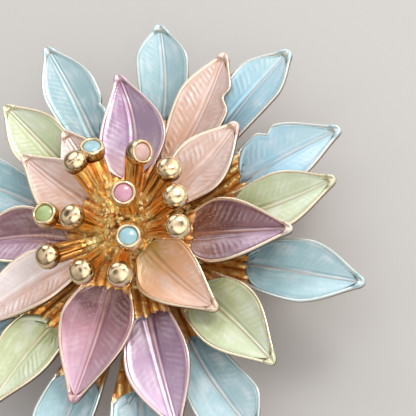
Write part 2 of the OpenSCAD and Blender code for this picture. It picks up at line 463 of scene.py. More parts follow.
# %% Recipe of a cast petal
CAST_RING, CAST_TOP, CAST_STEPS = 60, 44, 72
TIP_CROWD = 1.45  # over 1 crowds the steps towards the tip
TIP_METAL = 1.2  # bare metal before the tip
TIP_ROUND, TIP_CLOSED = 0.6, 0.93
TIP_DROP, TIP_THINNED = 0.2, 0.45
NUB_H = 0.46
BEAD_H, RIM_DIP = 0.2, 0.1
ROOT_EDGE = 0.03  # half the length of the step down to the enamel's floor, as a share
FLUTE_TURN, FLUTE_WANDER, FLUTE_H = 5.0, 3.0, 0.36
GRIT_H, ROOT_DROP = 0.24, 0.34
EDGE_METAL, SQUARENESS = 0.16, 10.0
sheet, g = recipe("cast_petal", LEAF_INPUTS + ["Metal"])
shape, spot, along, _ = tube(sheet, CAST_RING, CAST_STEPS)
flat, on_top = press_flat(spot, CAST_RING, CAST_TOP)
across = (flat * QUARTER_TURN).math("SINE")
share = 1.0 - (1.0 - along) ** TIP_CROWD
rule = leaf(g, share, across)
to_tip = (1.0 - share) * rule["length"]
end = (1.0 - to_tip / TIP_ROUND).math("MAXIMUM", 0.0)
half = rule["half"] * (1.0 - end * end * TIP_CLOSED).math("SQRT")
side = across * half
from_edge = (half - abs(side)) / RIM

# the rim's bead, the floor inside it and the nub
enamel_share = rule["enamel share"]
enamelled = sheet.rise(share, enamel_share - ROOT_EDGE, enamel_share + ROOT_EDGE)
bead = (1.0 - (from_edge.math("MINIMUM", 1.0) * 2.0 - 1.0) ** 2.0).math("MAXIMUM", 0.0)
bead = bead.math("SQRT") * BEAD_H - RIM_DIP
inside = sheet.rise(from_edge, 0.9, 1.25)
before_end = sheet.rise(to_tip, TIP_METAL - 0.25, TIP_METAL + 0.2)
floor_drop = inside * before_end * enamelled * (RIM_DIP - RECESS)
nub = (1.0 - before_end) * (1.0 - across * across).math("SQRT") * (1.0 - end ** 3.0) * NUB_H

# the fluted root, and the body under the face
rough_root = 1.0 - sheet.rise(share, enamel_share - 0.02, enamel_share + 0.1)
place = sheet.point(rule["radius"], side * 1.6, g["Seed"] + g["Azimuth"])
flute = wave(side * FLUTE_TURN + sheet.noise(place, 2.5) * FLUTE_WANDER)
grit = sheet.noise(place, 0.8) * GRIT_H
root_relief = rough_root * (flute * FLUTE_H + grit - ROOT_DROP)
top_lift = bead * (1.0 - rough_root) + floor_drop + nub + root_relief - end ** 3.0 * TIP_DROP
belly = (1.0 - abs(across) ** SQUARENESS).math("MAXIMUM", 0.0) ** (1.0 / SQUARENESS)
under_lift = -EDGE_METAL - (METAL - EDGE_METAL) * belly * (1.0 - end ** 3.0 * TIP_THINNED)
lift = mix(on_top, under_lift, top_lift)

# what the material reads
rim_mask = on_top * (1.0 - sheet.rise(from_edge, 0.85, 1.1))
tip_mask = on_top * (1.0 - sheet.rise(to_tip, TIP_METAL - 0.1, TIP_METAL + 0.5))
shape = keep_fields(shape, {
    "rough": rough_root * on_top,
    "fluted": rough_root * on_top,
    # the troughs between the flutes, which the plated gold paints with shade
    "groove": rough_root * on_top * (1.0 - flute),
    "rim": rim_mask * (1.0 - rough_root),
    "tip": tip_mask,
    # the sides and underside, which the plated gold paints darker as painted shade
    "wall": 1.0 - on_top,
})
place = place_leaf(g, rule, side, lift)
casting_recipe = close_recipe(move_points(shape, place), g["Metal"])

# %% [markdown]
# ## The enamel
#
# The enamel is a thin body of glass on that floor. The casting under it carries a midrib with
# a groove on each side and fine veins that run from the midrib towards the tip, and the
# glass follows them softly. Points crowd towards the midrib here. The enamel's lower end
# is ragged on the real one, so each petal's start wanders with a noise of its own. On the
# two lower flowers it wanders most and stands up a little.

# %% Recipe of a petal's enamel
GLASS_RING, GLASS_TOP, GLASS_STEPS = 62, 52, 132
MID_CROWD = 1.3  # over 1 crowds the points towards the midrib
START_WANDER = 0.11
BARE_RIM = 0.74  # the share of the rim that the glass leaves bare
POINT_FROM, POINT_CLOSED, ROOT_CLOSED = 0.86, 0.96, 0.93
GLASS_CLEAR = 0.03  # between the glass and its floor
GLASS_LEVEL, HIGHEST = -0.1, 0.1
MIDRIB_H, GROOVE_H, SHOULDER_H = 0.1, 0.06, 0.05
SWELL_H, MENISCUS_H, START_DROP = 0.08, 0.11, 0.16
VEIN_PITCH, VEIN_SLANT, VEIN_CURVE, VEIN_WOBBLE = 0.9, 0.9, 0.05, 1.1
sheet, g = recipe("petal_enamel", LEAF_INPUTS + [
    "Veins", "Ragged", "Arch", "Root lift", "Left painted light", "Right painted light", "Glass"])
shape, spot, along, _ = tube(sheet, GLASS_RING, GLASS_STEPS)
flat, on_top = press_flat(spot, GLASS_RING, GLASS_TOP)
crowded = flat.math("SIGN") * abs(flat) ** MID_CROWD
across = mix(on_top, flat, crowded)
start = (g["Enamel from"] - g["Root"]) / (g["Tip"] - g["Root"])
edge_place = sheet.point(across * 2.2, g["Azimuth"], g["Seed"])
wander = sheet.noise(edge_place, 0.5)
start = start + (wander - 0.5) * g["Ragged"] * START_WANDER * (1.0 - along) ** 3.0
finish = 1.0 - TIP_METAL / (g["Tip"] - g["Root"])
share = start + (finish - start) * along
rule = leaf(g, share, across)
point_end = ((along - POINT_FROM) / (1.0 - POINT_FROM)).math("MAXIMUM", 0.0)
root_end = (1.0 - along / g["Arch"]).math("MAXIMUM", 0.0)
inner = (rule["half"] - RIM * BARE_RIM).math("MAXIMUM", 0.05)
inner = inner * (1.0 - point_end ** 2.0 * POINT_CLOSED).math("SQRT")
inner = inner * (1.0 - root_end ** 2.0 * ROOT_CLOSED).math("SQRT")
side = across * inner

# the midrib with its grooves, the veins and the swells of the glass
away = abs(side)
narrow = 0.45 + 0.75 * (1.0 - share)  # the midrib narrows towards the tip
ribbed = away / narrow
rib = hill(ribbed, 0.0, 0.2)
grooves, shoulders = hill(ribbed, 0.46, 0.18), hill(ribbed, 0.88, 0.26)
ribs = rib * MIDRIB_H - grooves * GROOVE_H + shoulders * SHOULDER_H
run = rule["radius"] - g["Root"]
slant = run - away * VEIN_SLANT + away * away * VEIN_CURVE
swell = sheet.noise(sheet.point(run, side, g["Seed"] + g["Azimuth"]), 2.6)
wobble = sheet.noise(sheet.point(run, side, g["Azimuth"]), 2.5, 3.0)
vein = wave((slant / VEIN_PITCH + wobble * VEIN_WOBBLE) * (2 * math.pi))
vein_mask = sheet.rise(ribbed, 1.1, 1.9) * (1.0 - sheet.rise(away / inner, 0.8, 0.98))
vein_mask = vein_mask * (0.15 + 0.85 * sheet.rise(swell, 0.38, 0.62))
vein_mask = vein_mask * (0.4 + 0.6 * across.math("GREATER_THAN", 0.0))
vein = vein ** 2.0 * vein_mask
low_end = sheet.rise(along, 0.0, 0.05)
meniscus = sheet.rise(away / inner, 0.82, 1.0) * MENISCUS_H
top_lift = GLASS_LEVEL + ribs + vein * g["Veins"] + swell * SWELL_H + meniscus
top_lift = (top_lift - (1.0 - low_end) * START_DROP).math("MINIMUM", HIGHEST)
root_lift = g["Root lift"] * (1.0 - along) ** 4.0
lift = mix(on_top, -RECESS + GLASS_CLEAR, top_lift) + root_lift

# what the material reads
shape = keep_fields(shape, {
    "run": (rule["radius"] - g["Enamel from"]) / (g["Tip"] - g["Enamel from"]),
    "side": across,
    "rib": rib,
    "vein": vein,
    # painted light on each half of the petal: above 0 painted sheen, below 0 painted shade
    "painted_half_light": mix(sheet.rise(across, -0.12, 0.12), g["Right painted light"], g["Left painted light"]),
})
place = place_leaf(g, rule, side, lift)
filling_recipe = close_recipe(move_points(shape, place), g["Glass"])

# %% [markdown]
# ## The rough gold between the petals
#
# Each flower's petals join in a disc. On the real brooch its top is left as cast: ridges
# that run outwards, with nuggets of metal over them that sparkle. A cylinder whose caps are
# fans of small faces gives enough points, and a cell noise lifts them. The same recipe makes
# the low dome under the stamens when it is given a dome height.

# %% Recipe of a rough disc
DISC_RING, DISC_FILL = 200, 30
LUMP_H, RIDGE_H, GRAIN_H = 0.5, 0.26, 0.3
RIDGE_WANDER = 9.0
EDGE_ROUND = 0.12
sheet, g = recipe("rough_disc", [
    "Radius", "Top", "Thick", "Dome", "Boss radius", "Boss", "Ridges", "Nuggets", "Rough",
    "Seed", "Metal"])
shape = sheet.node(
    "GeometryNodeMeshCylinder",
    {"fill_type": "TRIANGLE_FAN"},
    {"Vertices": DISC_RING, "Side Segments": 1, "Fill Segments": DISC_FILL,
     "Radius": 1.0, "Depth": 1.0},
    "Mesh",
)
here, angle = around(sheet)
out = (here.out("X") ** 2.0 + here.out("Y") ** 2.0).math("SQRT")
on_top = here.out("Z").math("GREATER_THAN", 0.0)
east, north = here.out("X") * g["Radius"], here.out("Y") * g["Radius"]
reach = out * g["Radius"]
spot = sheet.point(east, north, g["Seed"])

# lumps over ridges that run outwards
cells = sheet.node(
    "ShaderNodeTexVoronoi",
    {"feature": "SMOOTH_F1", "distance": "MANHATTAN"},
    {"Vector": spot, "Scale": g["Nuggets"], "Smoothness": 0.15},
    "Distance",
)
ridge = wave(angle * g["Ridges"] + sheet.noise(spot, 3.0) * RIDGE_WANDER)
relief = (0.6 - cells) * LUMP_H + ridge * RIDGE_H * sheet.rise(reach, 1.5, 4.0)
relief = (relief + (sheet.noise(spot, 0.6, 3.0) - 0.5) * GRAIN_H) * g["Rough"]
relief = relief * (1.0 - sheet.rise(out, 0.93, 1.0))
dome = (1.0 - out * out).math("MAXIMUM", 0.0) * g["Dome"]
high = g["Top"] + dome + relief - sheet.rise(out, 0.96, 1.0) * EDGE_ROUND
low = g["Top"] - g["Thick"] - g["Boss"] * reach.math("LESS_THAN", g["Boss radius"])
shape = keep_fields(shape, {
    "rough": on_top,
    # the low places of the relief, which the plated gold paints with shade
    "groove": on_top * clamp(0.35 - relief * 2.2),
})
place = sheet.point(east + AXIS[0], north + AXIS[1], mix(on_top, low, high))
disc_recipe = close_recipe(move_points(shape, place), g["Metal"])

# %% [markdown]
# ## A stamen's post
#
# A stamen is a post that widens upwards, with grooves that run along it, and a polished
# head. This recipe makes the post as one closed tube. Most of its steps go up the post, and
# the last few round its top off inside the head, which is turned apart. The grooves wander a
# little, as in hand-finished wax.

# %% Recipe of a stamen's post
POST_RING, POST_STEPS = 72, 46
POST_PART = 0.9  # the share of the steps that go up the post
FLARE, LIP = 0.35, 0.05
GROOVE_DEPTH, UNEVEN = 0.2, 0.12
GRAIN_LONG = 0.045  # how slowly the fine lines change along the post
sheet, g = recipe("stamen", [
    "Foot", "Lean", "Azimuth", "Long", "Foot radius", "Neck", "Top radius", "Seed", "Metal"])
shape, _, along, angle = tube(sheet, POST_RING, POST_STEPS)
east, north = angle.math("COSINE"), angle.math("SINE")
in_top = along.math("GREATER_THAN", POST_PART)
up_post = (along / POST_PART).math("MINIMUM", 1.0)
up_top = ((along - POST_PART) / (1.0 - POST_PART)).math("MAXIMUM", 0.0)
neck_height = g["Long"] - (g["Top radius"] ** 2.0 - g["Neck"] ** 2.0).math("SQRT")
first = (g["Neck"] / g["Top radius"]).math("ARCSINE")
arc = first + (math.pi * 0.995 - first) * up_top

# grooves, coarse and fine, that fade below the neck
fading = 1.0 - sheet.rise(up_post, 0.88, 0.95)
coarse = sheet.noise(
    sheet.point(east * 1.5, north * 1.5, up_post * 0.5 + g["Seed"]), 0.45, 1.0)
fine = sheet.noise(sheet.point(east * 2.4, north * 2.4, up_post * 1.5 + g["Seed"]), 0.4)
groove = sheet.rise(coarse, 0.54, 0.66) * fading * (1.0 - in_top)
flare = (up_post * -5.0).math("EXPONENT") * FLARE
post_radius = mix(up_post, g["Foot radius"], g["Neck"]) + flare + hill(up_post, 0.97, 0.02) * LIP
post_radius = post_radius * (1.0 - groove * GROOVE_DEPTH - (fine - 0.5) * UNEVEN * fading)
radius = mix(in_top, post_radius, g["Top radius"] * arc.math("SINE"))
height = mix(in_top, neck_height * up_post, g["Long"] - g["Top radius"] * arc.math("COSINE"))
shape = keep_fields(shape, {
    "ball": sheet.rise(along, POST_PART - 0.02, POST_PART + 0.02),
    "foot": 1.0 - sheet.rise(up_post + (coarse - 0.5) * 0.6, 0.45, 0.72),
    # the grooves and the post's top just under its head, where the old gold paints shade
    "groove": clamp(groove + sheet.rise(up_post, 0.95, 1.0) * 0.8),
})
grain_way = sheet.point(east, north, height * GRAIN_LONG + g["Seed"])
shape = keep_fields(shape, {"grain way": grain_way}, "FLOAT_VECTOR")
place = sheet.point(radius * east, radius * north, height)
shape = move_points(shape, place)
turned = sheet.point(0.0, g["Lean"] * DEGREE, g["Azimuth"] * DEGREE)
moved = sheet.scale(g["Foot"], MM)
shape = sheet.node(
    "GeometryNodeTransform", {}, {"Geometry": shape, "Translation": moved, "Rotation": turned}
)
post_recipe = close_recipe(shape, g["Metal"])

# %% [markdown]
# ## Finishes
#
# Colours are measured as they look on a screen, and a shader wants them in linear light, so
# `screen` turns one into the other. Every pattern reads Object coordinates in millimetres or
# the numbers that the recipes left on the points, so it stays on the metal from every side.

# %% Paint tools
def screen(red, green, blue):
    """A colour as it looks on a screen, for a shader."""
    channels = [
        c / 12.92 if c <= 0.04045 else ((c + 0.055) / 1.055) ** 2.4 for c in (red, green, blue)
    ]
    return (*channels, 1.0)


def paint(name, **fixed):
    """A material, its sheet, its millimetre coordinates and its Principled shader."""
    material = bpy.data.materials.new(name)
    material.use_nodes = True
    tree = material.node_tree
    shader = tree.nodes["Principled BSDF"]
    for label, value in fixed.items():
        shader.inputs[label.replace("_", " ")].default_value = value
    sheet = Sheet(tree)
    place = sheet.node("ShaderNodeTexCoord", output="Object")
    return material, sheet, sheet.scale(place, 1.0 / MM), shader


def feed(shader, label, wire):
    wire.sheet.tree.links.new(wire.socket, shader.inputs[label])


def field(sheet, name, output="Fac"):
    return sheet.node("ShaderNodeAttribute", {"attribute_name": name}, {}, output)


def bump(shader, height, strength, deep):
    """Fine relief, deep in millimetres."""
    made = height.sheet.node(
        "ShaderNodeBump", {}, {"Strength": strength, "Distance": deep * MM, "Height": height}
    )
    feed(shader, "Normal", made)


def shards(sheet, place, size):
    """Broken lumps: a flat facet's height in millimetres, each lump's tone, 1 in the gaps."""
    jolt = sheet.noise(place, 1.1, 2.0, "Color")
    broken = sheet.vector("MULTIPLY_ADD", jolt, (0.7, 0.7, 0.7), place)
    spread = {"Vector": broken, "Scale": 1.0 / size}
    lump = sheet.node("ShaderNodeTexVoronoi", {}, spread, "Distance")
    offset = sheet.vector("SUBTRACT", broken, lump.out("Position"))
    tilt = sheet.vector("SUBTRACT", lump.out("Color"), (0.5, 0.5, 0.5))
    facet = sheet.vector("DOT_PRODUCT", offset, tilt, output="Value")
    edge = sheet.node(
        "ShaderNodeTexVoronoi", {"feature": "DISTANCE_TO_EDGE"}, spread, "Distance"
    )
    return facet * 1.2, sheet.split(lump.out("Color")), 1.0 - sheet.rise(edge, 0.02, 0.13)


# %% [markdown]
# The castings are plated in a pale, slightly rosy gold. The rims and walls are polished, and
# the walls and undersides are painted a darker gold as painted shade. At the roots and on the
# discs the plating lies on rough metal, which breaks into small flat shards that sparkle; some
# shards and the flute ridges are painted lighter as painted glints. It looks deeper and more
# orange there, with painted brown shade in its hollows, flute troughs and the gaps between the
# shards. A breath of each petal's enamel also runs over its rim and tip, which the recipe
# passes on as the petal's tint.

# %% Plated gold
PALE_GOLD = screen(0.97, 0.89, 0.77)
PAINTED_WALL_SHADE_GOLD = screen(0.62, 0.44, 0.33)
PAINTED_GLINT_GOLD = screen(1.0, 0.91, 0.62)
AMBER = screen(1.0, 0.69, 0.31)
PAINTED_HOLLOW_SHADE = screen(0.54, 0.25, 0.08)

plate, sheet, place, shader = paint("plated_gold", Metallic=1.0)
rough, rim, fluted, groove = (field(sheet, key) for key in ("rough", "rim", "fluted", "groove"))
grain = sheet.noise(place, 0.35, 4.0)
facet, tone, gap = shards(sheet, place, 0.75)
# painted shade: walls and undersides take a darker gold
colour = sheet.blend(field(sheet, "wall"), PALE_GOLD, PAINTED_WALL_SHADE_GOLD)
# painted glints and shade: shards with a low tone and flute ridges are painted pale, flute troughs
# amber
deepening = mix(fluted, tone * 0.75, tone * 0.4 + groove * 0.6 + 0.2) + (grain - 0.5) * 0.6
crumbs_with_glints = sheet.blend(sheet.rise(deepening, 0.2, 0.65), PAINTED_GLINT_GOLD, AMBER)
colour = sheet.blend(rough, colour, crumbs_with_glints)
# painted shade: brown in the gaps between shards, in flute troughs and in the discs' low places
gap = gap * (0.1 + grain * 0.4) * (1.0 - fluted * 0.6)
painted_hollow_shade = clamp(sheet.rise(groove, 0.55, 1.0) * 0.8 + gap) * rough
colour = sheet.blend(painted_hollow_shade * 0.9, colour, PAINTED_HOLLOW_SHADE)
glaze = clamp(rim * field(sheet, "glaze") + field(sheet, "tip") * 0.6)
colour = sheet.blend(glaze, colour, field(sheet, "tint", "Color"))
feed(shader, "Base Color", colour)
feed(shader, "Metallic", 1.0 - glaze * 0.6 - rough * 0.5)
feed(shader, "Roughness", 0.15 + rough * 0.10 + grain * 0.07)
bump(shader, grain * (0.02 + rough * 0.06) + facet * rough * (1.0 - fluted * 0.65), 1.0, 1.0)

# %% [markdown]
# The stamens are a warmer, older gold: champagne mirrors on the heads, painted darker towards
# their undersides as painted shade, and deep orange posts with dark lines. The same dark brown
# is painted into the posts' grooves, just under each head and between the shards of the feet,
# as painted shade. Their feet run into the rough middle, so the same shards take over there,
# some painted paler as painted glints.

# %% Antique gold
CHAMPAGNE = screen(0.90, 0.80, 0.65)
POST_GOLD = screen(1.0, 0.81, 0.50)
POST_AMBER = screen(1.0, 0.71, 0.34)
DARK_LINE_AND_SHADE = screen(0.36, 0.17, 0.05)
PAINTED_HEAD_SHADE = screen(0.33, 0.22, 0.11)
PAINTED_SPARK_GOLD = screen(1.0, 0.94, 0.70)
HONEY = screen(1.0, 0.76, 0.39)
antique, sheet, place, shader = paint("old_gold")
ball, groove, foot = (field(sheet, key) for key in ("ball", "groove", "foot"))
facet, tone, gap = shards(sheet, place, 0.55)
grain = sheet.noise(place, 0.3, 4.0)
grain_way = field(sheet, "grain way", "Vector")
sheen = sheet.noise(grain_way, 0.5)
lines = sheet.rise(sheet.noise(grain_way, 0.13), 0.56, 0.63)
# painted shade: each head and cup darkens towards its underside
below = sheet.rise(field(sheet, "below"), -0.75, 0.55)
heads = sheet.blend(below * 0.9, CHAMPAGNE, PAINTED_HEAD_SHADE)
posts = sheet.blend(sheet.rise(sheen, 0.4, 0.6), POST_GOLD, POST_AMBER)
# painted glints: shards with a low tone on the feet are painted pale
crumbs_with_glints = sheet.blend(sheet.rise(tone + (grain - 0.5) * 0.6, 0.35, 0.8), PAINTED_SPARK_GOLD, HONEY)
posts = sheet.blend(foot, posts, crumbs_with_glints)
colour = sheet.blend(ball, posts, heads)
# the fine lines are the posts' own; grooves, the band under each head and gaps between foot shards
# are painted shade
lines_and_painted_shade = mix(foot, clamp(groove * 0.75 + lines * 0.9) * (1.0 - ball), gap * (0.1 + grain * 0.4))
colour = sheet.blend(lines_and_painted_shade * 0.9, colour, DARK_LINE_AND_SHADE)
feed(shader, "Base Color", colour)
feed(shader, "Metallic", 1.0 - foot * 0.4)
feed(shader, "Roughness", mix(ball, 0.24 + grain * 0.14, 0.09 + grain * 0.04))
grooved = (grain * 0.35 - lines * 0.7) * (1.0 - ball) + grain * ball * 0.05
bump(shader, grooved * (1.0 - foot) * 0.05 + (facet + grain * 0.06) * foot, 1.0, 1.0)

# %% [markdown]
# ## Pearly enamel
#
# The enamel is glass with mica in it, painted over ribbed metal. Its colour is deepest near
# the middle of the flower and pales towards the tip, it is cloudy, lighter along each vein
# and rosy where the midrib almost breaks through. Tiny dark pits dot it. On some petals one
# half is painted milkier as a painted sheen, and on others one half is painted deeper as
# painted shade. A thin clear coat gives the gloss, and a share of metal gives the pearl.

# %% Enamel
ENAMELS = {
    # colour near the root, in the middle and at the tip, pearl, copper flecks, pale clouds
    "sky": ((0.54, 0.68, 0.71), (0.61, 0.75, 0.78), (0.73, 0.84, 0.87), 0.15, 0.0, 0.3),
    "ice": ((0.58, 0.74, 0.80), (0.65, 0.84, 0.92), (0.79, 0.91, 0.94), 0.25, 0.0, 0.3),
    "leaf": ((0.68, 0.71, 0.49), (0.76, 0.80, 0.64), (0.84, 0.88, 0.77), 0.25, 0.2, 0.3),
    "pink": ((0.80, 0.60, 0.46), (0.80, 0.66, 0.60), (0.88, 0.78, 0.75), 0.35, 0.1, 0.3),
    "peach": ((0.74, 0.62, 0.34), (0.92, 0.72, 0.57), (0.93, 0.78, 0.71), 0.3, 0.3, 0.3),
    "lilac": ((0.48, 0.35, 0.44), (0.67, 0.54, 0.66), (0.82, 0.70, 0.82), 0.5, 0.2, 0.15),
    "orchid": ((0.76, 0.62, 0.64), (0.60, 0.48, 0.60), (0.62, 0.46, 0.59), 0.45, 0.0, 0.2),
    "plum": ((0.52, 0.32, 0.24), (0.49, 0.33, 0.38), (0.68, 0.53, 0.62), 0.65, 0.8, 0.15),
    "rosewood": ((0.40, 0.24, 0.26), (0.73, 0.52, 0.57), (0.85, 0.71, 0.79), 0.5, 0.5, 0.15),
    "pool": ((0.46, 0.64, 0.68), (0.57, 0.73, 0.77), (0.70, 0.85, 0.90), 0.1, 0.0, 0.1),
    "moss": ((0.54, 0.62, 0.36), (0.63, 0.70, 0.45), (0.76, 0.82, 0.60), 0.1, 0.0, 0.1),
    "blush": ((0.75, 0.56, 0.52), (0.81, 0.65, 0.62), (0.94, 0.80, 0.77), 0.1, 0.0, 0.1),
    "rose": ((0.72, 0.47, 0.55), (0.79, 0.56, 0.64), (0.89, 0.72, 0.79), 0.1, 0.0, 0.1),
}
RIB_ROSE = screen(0.90, 0.74, 0.66)
COPPER = screen(0.95, 0.74, 0.60)
PEARL = screen(0.97, 0.96, 0.97)


def enamel(name, deep, body, pale, pearl, flecks, clouds):
    glass, sheet, place, shader = paint(name + "_glass", Coat_Roughness=0.09)
    deep, body, pale = (screen(*colour) for colour in (deep, body, pale))
    keys = ("run", "side", "rib", "vein", "painted_half_light", "drop")
    run, side, rib, vein, painted_half_light, drop = (field(sheet, key) for key in keys)
    cloud = sheet.noise(place, 3.2, 3.0)
    wisp = sheet.noise(place, 0.9, 3.0)
    flow = sheet.noise(sheet.point(run * 2.2, side * 2.6, cloud * 0.8), 0.5)
    mica = sheet.noise(place, 0.14)
    ramp = sheet.node(
        "ShaderNodeValToRGB",
        {"stops": [(0.02, deep), (0.36, body), (0.92, pale)]},
        {0: run + (cloud - 0.5) * 0.4},
    )
    # painted sheen towards pearl, and painted shade towards the deep colour, on one half
    painted_sheen_or_shade = painted_half_light * (0.5 + cloud)
    colour = sheet.blend(clamp(painted_sheen_or_shade), sheet.blend(clamp(-painted_sheen_or_shade), ramp, deep), PEARL)
    colour = sheet.blend(vein * 0.22, colour, PEARL)
    colour = sheet.blend(sheet.rise(cloud * 0.5 + flow * 0.5, 0.46, 0.66) * clouds, colour, PEARL)
    colour = sheet.blend(sheet.rise(mica, 0.58, 0.8) * 0.12, colour, PEARL)
    speck = sheet.rise(sheet.noise(place, 0.22), 0.58, 0.68)
    speck = speck * (1.0 - sheet.rise(run, 0.12, 0.5))
    colour = sheet.blend(speck * flecks * (1.0 - drop), colour, COPPER)
    pits = sheet.node("ShaderNodeTexVoronoi", {}, {"Vector": place, "Scale": 1.3}, "Distance")
    colour = sheet.blend((1.0 - sheet.rise(pits, 0.04, 0.10)) * 0.4, colour, deep)
    colour = sheet.blend(rib * (0.1 + wisp * 0.7), colour, RIB_ROSE)
    feed(shader, "Base Color", colour)
    feed(shader, "Metallic", (pearl + rib * 0.3) * (1.0 - drop * 0.7))
    feed(shader, "Roughness", 0.27 + mica * 0.16)
    feed(shader, "Coat Weight", clamp(0.35 + pearl * 0.7 + drop * 0.6))
    bump(shader, mica + cloud * 2.0 + wisp * 0.8 + flow, 0.35, 0.035)
    return glass


glasses = {name: enamel(name, *row) for name, row in ENAMELS.items()}
print("enamels:", ", ".join(glasses))

# %% [markdown]
# ## The petals, made
#
# Now each row of the tables is cooked twice, once as metal and once as glass. A flower's
# metal petals and its disc become one piece, as they are one casting. Every petal's glass
# stays a piece of its own and stands for the solid of the same number.

# %% Join and place
SLOTS = {
    "sky_enamel": ["sky", "ice", "pool"],
    "leaf_enamel": ["leaf", "moss"],
    "pink_enamel": ["pink", "peach", "blush"],
    "mauve_enamel": ["lilac", "orchid", "plum", "rosewood", "rose"],
}
slot_of = {finish: slot for slot, finishes in SLOTS.items() for finish in finishes}
RIM_TINTS = {
    # the tint of a petal's rim and tip, and how much of it lies on the rim
    "sky": (0.80, 0.90, 0.92, 0.75), "ice": (0.84, 0.93, 0.96, 0.6),
    "leaf": (0.88, 0.89, 0.76, 0.3), "pink": (0.93, 0.83, 0.79, 0.45),
    "peach": (0.93, 0.83, 0.76, 0.35), "lilac": (0.84, 0.72, 0.80, 0.6),
    "orchid": (0.86, 0.74, 0.82, 0.6), "plum": (0.95, 0.89, 0.85, 0.3),
    "rosewood": (0.80, 0.64, 0.68, 0.45),
}
# for each flower, at its glass's root end: how much of the length is rounded off, how far it
# is lifted, and how ragged it is
ARCH = [0.18, 0.18, 0.12, 0.12]
ROOT_LIFT = [0.12, 0.12, 0.0, 0.0]
RAGGED = [2.2, 2.2, 0.3, 0.3]
OWN_VALUES = {
    # by flower and petal: chips in an edge, and a peach petal that reaches further in
    (0, 1): {"Notch at": 23.2, "Notch depth": 0.8, "Notch long": 0.75, "Notch side": 1.0},
    (0, 4): {"Notch at": 22.0, "Notch depth": 0.5, "Notch long": 0.6, "Notch side": -1.0},
    (2, 1): {"Notch at": 23.2, "Notch depth": 1.3, "Notch long": 1.1, "Notch side": -1.0},
    (3, 6): {"Root": 3.5, "Enamel from": 4.2, "Arch": 0.06, "Root lift": 0.7},
}
PAINTED_HALF_LIGHTS = {
    # painted light left and right of the midrib: above 0 a painted pale sheen, below 0 painted shade
    (0, 1): (0.1, 0.0), (0, 2): (0.0, -0.4), (0, 4): (-0.5, 0.0),
    (1, 2): (-0.3, 0.0), (1, 3): (0.0, -0.5), (1, 4): (0.0, -0.2),
    (2, 1): (-0.3, 0.0), (2, 3): (0.0, -0.35), (2, 4): (0.0, 0.08), (2, 5): (-0.3, 0.08),
    (3, 1): (-0.2, 0.0), (3, 2): (0.0, 0.1), (3, 4): (0.0, 0.45),
}


def show(name, mesh):
    piece = bpy.data.objects.new(name, mesh)
    scene.collection.objects.link(piece)
    return piece


def join(name, meshes):
    """One piece from several meshes, with what their points carry."""
    parts = [show(name, mesh) for mesh in meshes]
    with bpy.context.temp_override(
        active_object=parts[0], object=parts[0],
        selected_objects=parts, selected_editable_objects=parts,
    ):
        bpy.ops.object.join()
    parts[0].name = name
    return parts[0]


def settle(piece, slot, *nodes):
    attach(piece, "root")
    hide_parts(*nodes)


def mark(mesh, name, values):
    """Leaves a number on every point, or one number on all of them."""
    if isinstance(values, float):
        values = [values] * len(mesh.vertices)
    made = mesh.attributes.new(name, "FLOAT", "POINT")
    made.data.foreach_set("value", values)


def tint_rim(mesh, red, green, blue, glaze):
    """Leaves a petal's tint and how much of it lies on the rim."""
    tint = mesh.attributes.new("tint", "FLOAT_COLOR", "POINT")
    tint.data.foreach_set("color", list(screen(red, green, blue)) * len(mesh.vertices))
    mark(mesh, "glaze", glaze)


# %% Flowers
def petal_values(flower, number, sizes):
    """A petal's inputs: its row, then its flower's numbers, then its own."""
    return {
        **dict(zip(COLUMNS, map(float, sizes))),
        "Root": START_R[flower], "Height": HUB_Z[flower], "Seed": 10.0 * flower,
        "Arch": ARCH[flower], "Root lift": ROOT_LIFT[flower], "Ragged": RAGGED[flower],
        **NO_NOTCH, **OWN_VALUES.get((flower, number), {}),
    }


for flower, rows in enumerate(PETALS):
    metal = []
    for number, (*sizes, finish, veins) in enumerate(rows, 1):
        values = petal_values(flower, number, sizes)
        # the painted light and shade on each half of this petal
        left_painted_light, right_painted_light = PAINTED_HALF_LIGHTS.get((flower, number), (0.0, 0.0))
        cast = cook(casting_recipe, "cast", {**values, "Metal": plate})
        tint_rim(cast, *RIM_TINTS[finish])
        metal.append(cast)
        name = f"{FLOWERS[flower]}_glass_{number}"
        glass = show(name, cook(filling_recipe, name, {
            **values, "Veins": veins, "Left painted light": left_painted_light, "Right painted light": right_painted_light,
            "Glass": glasses[finish],
        }))
        settle(glass, slot_of[finish], f"{FLOWERS[flower]}_enamel_{number}")
    metal.append(cook(disc_recipe, "disc", {
        "Radius": HUB_R[flower], "Top": HUB_Z[flower] + DISC_OVER,
        "Thick": METAL + 2 * DISC_OVER, "Boss radius": BOSS_R, "Boss": BOSS_H[flower],
        "Ridges": 3.0 * HUB_R[flower], "Nuggets": 1.0, "Rough": 1.25,
        "Seed": float(flower), "Metal": plate,
    }))
    gold = join(FLOWERS[flower] + "_gold", metal)
    settle(gold, "gold_plate", FLOWERS[flower] + "_flower")
    print(gold.name, "has", len(gold.data.polygons), "faces")

# %% [markdown]
# ## The stamens, made
#
# Eight posts end in balls, pressed a little flat on top. Five end in a thimble whose flat
# face holds a drop of enamel. All three are turned shapes, so a short outline turned on a
# lathe is the plainest way to make them.

